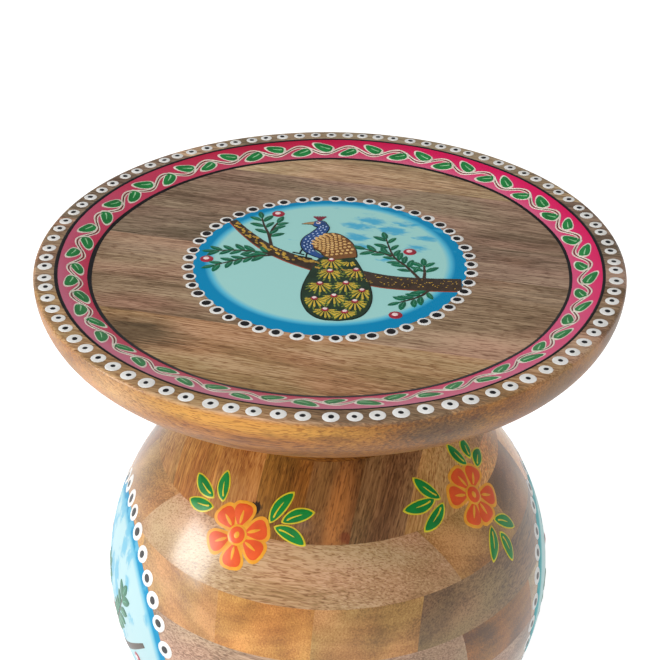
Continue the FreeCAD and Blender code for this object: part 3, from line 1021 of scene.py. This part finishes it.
def wing_scales(model):
    """Rows of small gold scales across the wing, every second row set over by half."""
    scales = []
    rows = 12
    pitch = 3.5 * MM
    for row in range(rows):
        share = 0.06 + 0.78 * row / (rows - 1)
        point, run = along_spine(wing_spine, share)
        across = Vector((-run.y, run.x))
        half = WING_WIDTH * wing_swell(share) / 2 - 1.4 * MM
        count = max(int(half * 2 / pitch), 1)
        for number in range(count):
            side = half * (2 * (number + 0.5 + 0.25 * (-1) ** row) / count - 1)
            place = point + across * side
            lean = math.atan2(run.y, run.x) + peacock_draws.uniform(-0.2, 0.2)
            scales.append(dab(model, place.x, place.y, 1.3 * MM, 0.2 * MM, 0.75 * MM, 1.15, lean))
    return scales


def neck_dashes(model):
    """Pale dashes down the neck in three rows."""
    dashes = []
    for row in (-0.55, 0.0, 0.55):
        for number in range(10):
            share = 0.1 + 0.78 * (number + (0.5 if row else 0)) / 10
            point, run = along_spine(neck_spine, share)
            place = point + Vector((-run.y, run.x)) * row * 4.6 * MM * neck_swell(share)
            dashes.append(dab(model, place.x, place.y, 0.6 * MM, 0.15 * MM, 0.85 * MM, 1.7,
                              math.atan2(run.y, run.x)))
    return dashes


train_ink, train_face = with_outline(train_spine, TRAIN_WIDTH, train_swell, 0.3 * MM, 0.25 * MM,
                                     steps=40, lanes=10)
wing_ink, wing_face = with_outline(wing_spine, WING_WIDTH, wing_swell, 0.34 * MM, 0.25 * MM,
                                   steps=30, lanes=10)
neck_ink, neck_face = with_outline(neck_spine, 9.6 * MM, neck_swell, 0.38 * MM, 0.3 * MM,
                                   steps=36, lanes=6)
beak_ink, beak_face = with_outline(mm((-12, 65), (-17, 65), (-22, 64)), 5.2 * MM,
                                   lambda share: 1 - share * 0.9, 0.3 * MM, 0.2 * MM, steps=8, lanes=4)
head_ink = dab(drop, *HEAD_PLACE, 6.2 * MM, 0.4 * MM, 0.25 * MM)
legs = [mark(mm(*spine), 1.3 * MM, lambda share: 1.0, 0.5 * MM, 0.15 * MM, steps=8, lanes=2) for spine in (
    ((-19, 25), (-22, 21), (-23.5, 15)),
    ((-15, 19), (-18, 15), (-18.5, 9)),
    ((-29, 17), (-25, 15.5), (-20, 13)),
    ((-24, 11), (-20, 9.5), (-14, 7)))]
crest = [mark(mm((-8.5, 68.5), (-8.5 + lean * 0.4, 72), (-8.5 + lean, 76.5)), 2.0 * MM,
              lambda share: 0.35 + 0.65 * share, 0.4 * MM, 0.2 * MM, steps=7, lanes=2)
         for lean in (-4.4, -2.1, 0.2, 2.5, 4.8)]
paint("peacock_outlines", [train_ink, wing_ink, neck_ink, beak_ink, head_ink] + legs, on_medallion,
      INK_ENAMEL)
paint("peacock_train", [train_face], on_medallion, TRAIN_GREEN)
paint("peacock_fan_gaps", fan_gaps, on_medallion, FAN_OLIVE)
paint("peacock_fans", fan_rays, on_medallion, FAN_YELLOW)
paint("peacock_wing", [wing_face], on_medallion, WING_TAN)
paint("peacock_wing_scales", wing_scales(drop), on_medallion, SCALE_GOLD)
head = dab(drop, *HEAD_PLACE, 5.4 * MM, 0.4 * MM, 0.4 * MM)
paint("peacock_neck", [neck_face, head], on_medallion, NECK_BLUE)
paint("peacock_neck_dashes", neck_dashes(drop), on_medallion, NECK_PALE)
paint("peacock_beak", [beak_face], on_medallion, BEAK_TAN)
paint("peacock_crest", crest, on_medallion, CREST_CRIMSON)
paint("peacock_reds", fan_reds, on_medallion, BERRY_RED)
eye_white = dab(drop, -9.5 * MM, 65 * MM, 1.9 * MM, 0.2 * MM, 0.75 * MM)
paint("peacock_lights", fan_whites + [eye_white], on_medallion, BLUSH_ENAMEL)
paint("peacock_eye", [dab(drop, -10 * MM, 65 * MM, 0.9 * MM, 0.2 * MM, 0.92 * MM)], on_medallion, INK_ENAMEL)

# Ball medallions. A sky disc on either side of the ball, painted like the one in the tray, with a ring of
# larger dots. Only their edges show in the photograph, so the branch with leaves and berries is a guess.
BALL_RADIUS = 185 * MM
BALL_CENTRE = Vector((0, 0, 156.91 * MM))
SIDE_TURNS = (math.radians(-64.6), math.radians(115.4))
SIDE_RISE = math.radians(-9.4)
SIDE_RADIUS = 117 * MM
SIDE_DOTS = 36
SIDE_DOT_RING = 119.8 * MM
SIDE_DOT_RADIUS = 7.8 * MM
SIDE_EYE_RADIUS = 3.4 * MM
side_draws = random.Random(14)


def outward(turn, rise):
    """The way out from the table's axis, turned round from its front and raised above the level."""
    return Vector((math.sin(turn) * math.cos(rise), -math.cos(turn) * math.cos(rise), math.sin(rise)))


def on_ball(turn, rise):
    """Lays the flat plan on the ball round a point, so that distances from that point stay true."""
    out = outward(turn, rise)
    right = Vector((math.cos(turn), math.sin(turn), 0))
    up = out.cross(right)

    def lay(x, y, h):
        angle = math.hypot(x, y) / BALL_RADIUS
        way = (right * x + up * y).normalized()
        return BALL_CENTRE + (out * math.cos(angle) + way * math.sin(angle)) * (BALL_RADIUS + h)

    return lay


LEFT_SKY = ("#aac8cc", "#72b2c6", "#0c84ae", "#62a9c4")
# The right disc's sky is painted turquoise and paler than the left one, standing in for the shade and the
# reflected surround on the ball's right side: painted shade and reflection.
RIGHT_SKY_WITH_PAINTED_SHADE = ("#c4eaea", "#66c8cc", "#1ca5ae", "#42b4bc")


def side_medallion(name, turn, colours):
    """One sky disc, its branch, leaves and berries, and its ring of dots."""
    lay = on_ball(turn, SIDE_RISE)
    ground = sky_enamel(name + "_sky_enamel", colours, (0.88, 0.92, 0.95), lay(0, 0, 0), SIDE_RADIUS * 0.98,
                        lay(0, 70 * MM, 0), 150 * MM, (1.3, 1.3, 0.8))
    paint(name + "_sky", [disc(SIDE_RADIUS, 16, SKY_FILM)], lay, ground)
    bough_spine = mm((-70, -62), (-40, -38), (0, -22), (42, -4), (84, 26))
    bough = mark(bough_spine, BRANCH_WIDTH * 0.8, lambda share: 1 - 0.7 * share, 0.2 * MM, 0.3 * MM, steps=40)
    stems = []
    leaves = []
    veins = []
    for stem, pairs in (
            (mm((-30, -33), (-28, -5), (-20, 22), (-6, 44)), 6),
            (mm((12, -18), (22, 8), (36, 28), (46, 52)), 5),
            (mm((-4, -24), (16, -40), (36, -48), (56, -50)), 4),
            (mm((-48, -44), (-60, -20), (-66, 4), (-64, 24)), 4)):
        twig, blades, ribs = spray(stem, BOTH_SIDES, pairs, 0.3, (17 * MM, 8.4 * MM), side_draws)
        stems.append(twig)
        leaves.extend(blades)
        veins.extend(ribs)
    paint(name + "_branch", [bough] + stems, lay, BARK_ENAMEL)
    paint(name + "_leaves", leaves, lay, TWIG_GREEN)
    paint(name + "_leaf_veins", veins, lay, TWIG_VEIN)
    fruit, lights = berries(drop, mm((2, 8), (66, 0), (-44, 56), (14, -66)))
    paint(name + "_berries", fruit, lay, BERRY_RED)
    paint(name + "_berry_lights", lights, lay, BLUSH_ENAMEL)
    whites, eyes = ring_of_dots(drop, SIDE_DOTS, SIDE_DOT_RING, SIDE_DOT_RADIUS, SIDE_EYE_RADIUS, side_draws)
    paint(name + "_dots", whites, lay, WHITE_ENAMEL)
    paint(name + "_dot_eyes", eyes, lay, BLACK_ENAMEL)


side_medallion("left_medallion", SIDE_TURNS[0], LEFT_SKY)
side_medallion("right_medallion", SIDE_TURNS[1], RIGHT_SKY_WITH_PAINTED_SHADE)

# Ball flowers. Orange six-petalled flowers with yellow outlines, brushed on the shoulder of the ball, each
# with loose groups of three outlined leaves. The pair at the back repeats the pair in front.
FLOWER_RADIUS = 27 * MM
PETAL_WIDTH = 20.4 * MM
PETAL_OUTLINE = 2.5 * MM
FLOWER_RING = 7.3 * MM
BALL_LEAF_WIDTH = 9.4 * MM
BALL_LEAF_OUTLINE = 1.1 * MM
PETAL_ORANGE = enamel("petal_orange_enamel", "#da531a", "#cd4915")
OUTLINE_YELLOW = enamel("outline_yellow_enamel", "#e09c26", "#d48c20")
LEAF_YELLOW = enamel("leaf_outline_enamel", "#cfc22c", "#c2a824")
BALL_LEAF_GREEN = enamel("bright_leaf_green_enamel", "#0b8436", "#096e2e")
FRONT_FLOWERS = (
    ("left_flower", math.radians(-15.3), math.radians(40.4), (95, 30, -20, -85, 212, 142), (
        ((-32, 21), (-54, 34)), ((-22, 21), (-29, 43)), ((-29, 13.5), (-52, 13.5)),
        ((22, 18), (30, 44)), ((31, 21), (50, 35)), ((27, 15), (52, 10)))),
    ("right_flower", math.radians(69.7), math.radians(42.4), (43, 97, 151, 227, 275, 329), (
        ((14, 21), (12, 42)), ((23, 23), (31, 37)), ((23, 14), (40, 22)),
        ((-30, 16), (-37, 40)), ((-35, 18), (-61, 26)), ((-31, 11), (-57, 4)),
        ((7, -27), (26, -44)), ((-1, -29.5), (-14, -52)), ((6, -39), (8, -64)))),
)


def petal_swell(share):
    """Narrow at the ring, broadest two thirds of the way out, and round at the end."""
    if share < 0.66:
        return 0.28 + 0.72 * math.sin(math.pi / 2 * share / 0.66) ** 1.4
    return math.sqrt(max(1 - ((share - 0.66) / 0.34) ** 2, 0))


def flower_marks(angles):
    """Yellow petal shapes, orange faces on them, yellow strokes down the middles, and a ringed centre."""
    yellow = []
    orange = []
    strokes = []
    for degrees in angles:
        way = Vector((math.cos(math.radians(degrees)), math.sin(math.radians(degrees))))
        middle = way * FLOWER_RADIUS * 0.6
        yellow.append(mark([way * 4 * MM, middle, way * FLOWER_RADIUS], PETAL_WIDTH, petal_swell,
                           0.12 * MM, 0.2 * MM, steps=16, lanes=6))
        orange.append(mark([way * 8 * MM, middle, way * (FLOWER_RADIUS - PETAL_OUTLINE)],
                           PETAL_WIDTH - 2 * PETAL_OUTLINE, petal_swell, 0.32 * MM, 0.2 * MM, steps=16,
                           lanes=6))
        strokes.append(mark([way * 8.5 * MM, way * 13 * MM, way * 19.5 * MM], 2.5 * MM, lens_swell,
                            0.52 * MM, 0.12 * MM, steps=8, lanes=2))
    yellow.append(dab(drop, 0, 0, FLOWER_RING + 0.8 * MM, 0.4 * MM, 0.3 * MM))
    orange.append(dab(drop, 0, 0, FLOWER_RING - 0.8 * MM, 0.3 * MM, 0.55 * MM))
    strokes.append(dab(drop, 0, 0, 2.1 * MM, 0.2 * MM, 0.8 * MM, 1.3, 1.4))
    return yellow, orange, strokes


def flower(name, turn, rise, angles, leaves):
    """One flower and its leaves on the ball."""
    lay = on_ball(turn, rise)
    yellow, orange, strokes = flower_marks(angles)
    paint(name + "_outlines", yellow, lay, OUTLINE_YELLOW)
    paint(name + "_petals", orange, lay, PETAL_ORANGE)
    paint(name + "_strokes", strokes, lay, OUTLINE_YELLOW)
    layers = ([], [], [])
    for root, tip in leaves:
        run = (Vector(tip) - Vector(root)) * MM
        angle = math.atan2(run.y, run.x)
        start = Vector(root) * MM
        marks = leaf_marks(start, angle, run.length, BALL_LEAF_WIDTH, BALL_LEAF_OUTLINE, lens_swell)
        for layer, made in zip(layers, marks):
            layer.append(made)
    paint(name + "_leaf_outlines", layers[0], lay, LEAF_YELLOW)
    paint(name + "_leaves", layers[1], lay, BALL_LEAF_GREEN)
    paint(name + "_leaf_veins", layers[2], lay, LEAF_YELLOW)


for name, turn, rise, angles, leaves in FRONT_FLOWERS:
    flower(name, turn, rise, angles, leaves)
    flower("back_" + name, turn + math.pi, rise, angles, leaves)

# Stage. A plain white floor, a white surround, soft lights from the left, from overhead and in front, and a
# camera at the photograph's angle.
VIEW_TURN = PICTURE_TURN
VIEW_RISE = math.radians(31.69)
VIEW_DISTANCE = 1.3103
VIEW_ROLL = math.radians(0.391)
VIEW_TARGET = Vector((0.0003, 0.0001, 0.384))
LENS = 90.87
LIGHT_TARGET = Vector((0, 0, 0.3))
FLOOR_RADIUS = 14


def white_floor():
    """White for the camera, dimmed only by the object's own shadow, and grey for the light it throws back."""
    material, surface = new_material("white_studio_floor")
    paper = add(material, "BsdfDiffuse", None, {"Color": linear("#f2f2f2")}).outputs["BSDF"]
    bounce = add(material, "BsdfDiffuse", None, {"Color": linear("#bcbcbc")}).outputs["BSDF"]
    glow = add(material, "Emission", None, {"Color": linear("#ffffff"), "Strength": 0.6}).outputs["Emission"]
    lit = add(material, "AddShader", None, {0: paper, 1: glow}).outputs["Shader"]
    rays = add(material, "LightPath").outputs
    seen = add(material, "Math", {"operation": "MAXIMUM"}, {
        0: rays["Is Camera Ray"], 1: rays["Is Glossy Ray"]}).outputs[0]
    mixed = add(material, "MixShader", None, {"Fac": seen, 1: bounce, 2: lit}).outputs["Shader"]
    material.node_tree.links.new(mixed, surface)
    return material


deselect()
bpy.ops.mesh.primitive_circle_add(vertices=96, radius=FLOOR_RADIUS, fill_type="NGON", location=(0, 0, 0))
floor = bpy.context.active_object
floor.name = "studio_floor"
floor.data.materials.append(white_floor())

world = bpy.data.worlds.new("studio")
bpy.context.scene.world = world
world.use_nodes = True
world.node_tree.nodes.clear()
HORIZON_LIGHT = 0.9
OVERHEAD_LIGHT = 0.36
HORIZON_SHEEN = 0.75
OVERHEAD_SHEEN = 0.1

# The surround is white to the camera, and lights the table from a bright horizon that dims overhead. What
# the finish mirrors dims sooner, so only faces seen at a low angle catch the white.
ray_way = add(world, "TexCoord").outputs["Generated"]
height = add(world, "SeparateXYZ", None, {"Vector": ray_way}).outputs["Z"]
dome = add(world, "MapRange", None, {
    "Value": height, "From Min": 0.0, "From Max": 0.7, "To Min": HORIZON_LIGHT,
    "To Max": OVERHEAD_LIGHT}).outputs["Result"]
sheen = add(world, "MapRange", None, {
    "Value": height, "From Min": 0.05, "From Max": 0.4, "To Min": HORIZON_SHEEN,
    "To Max": OVERHEAD_SHEEN}).outputs["Result"]
rays = add(world, "LightPath").outputs
strength = add(world, "MapRange", None, {
    "Value": rays["Is Glossy Ray"], "To Min": dome, "To Max": sheen}).outputs["Result"]
strength = add(world, "MapRange", None, {
    "Value": rays["Is Camera Ray"], "To Min": strength, "To Max": 1.0}).outputs["Result"]
surround = add(world, "Background", None, {
    "Strength": strength, "Color": linear("#ffffff")}).outputs["Background"]
add(world, "OutputWorld", None, {"Surface": surround})


def soft_light(name, turn, rise, distance, size, power):
    """A square soft light that faces the table from a turn about it and a rise above the floor."""
    lamp = bpy.data.lights.new(name, "AREA")
    lamp.shape = "SQUARE"
    lamp.size = size
    lamp.energy = power
    holder = bpy.data.objects.new(name, lamp)
    bpy.context.collection.objects.link(holder)
    away = outward(turn, rise)
    holder.location = LIGHT_TARGET + away * distance
    holder.rotation_euler = away.to_track_quat("Z", "Y").to_euler()
    return holder


soft_light("left_window", VIEW_TURN - math.radians(74), math.radians(10), distance=1.9, size=0.7, power=25)
soft_light("overhead", VIEW_TURN - math.radians(45), math.radians(68), distance=2.1, size=1.4, power=16)
front_fill = soft_light("front_fill", VIEW_TURN + math.radians(5), math.radians(16), distance=2.6, size=1.6,
                        power=26)
front_fill.visible_glossy = False

camera = bpy.data.objects.new("camera", bpy.data.cameras.new("camera"))
bpy.context.collection.objects.link(camera)
camera.data.lens = LENS
away = outward(VIEW_TURN, VIEW_RISE)
camera.location = VIEW_TARGET + away * VIEW_DISTANCE
aim = away.to_track_quat("Z", "Y").to_matrix().to_4x4() @ Matrix.Rotation(VIEW_ROLL, 4, "Z")
camera.rotation_euler = aim.to_euler()
bpy.context.scene.camera = camera
bpy.context.scene.view_settings.view_transform = "Standard"

# The model drop is only copied from, so it goes.
bpy.data.objects.remove(drop)
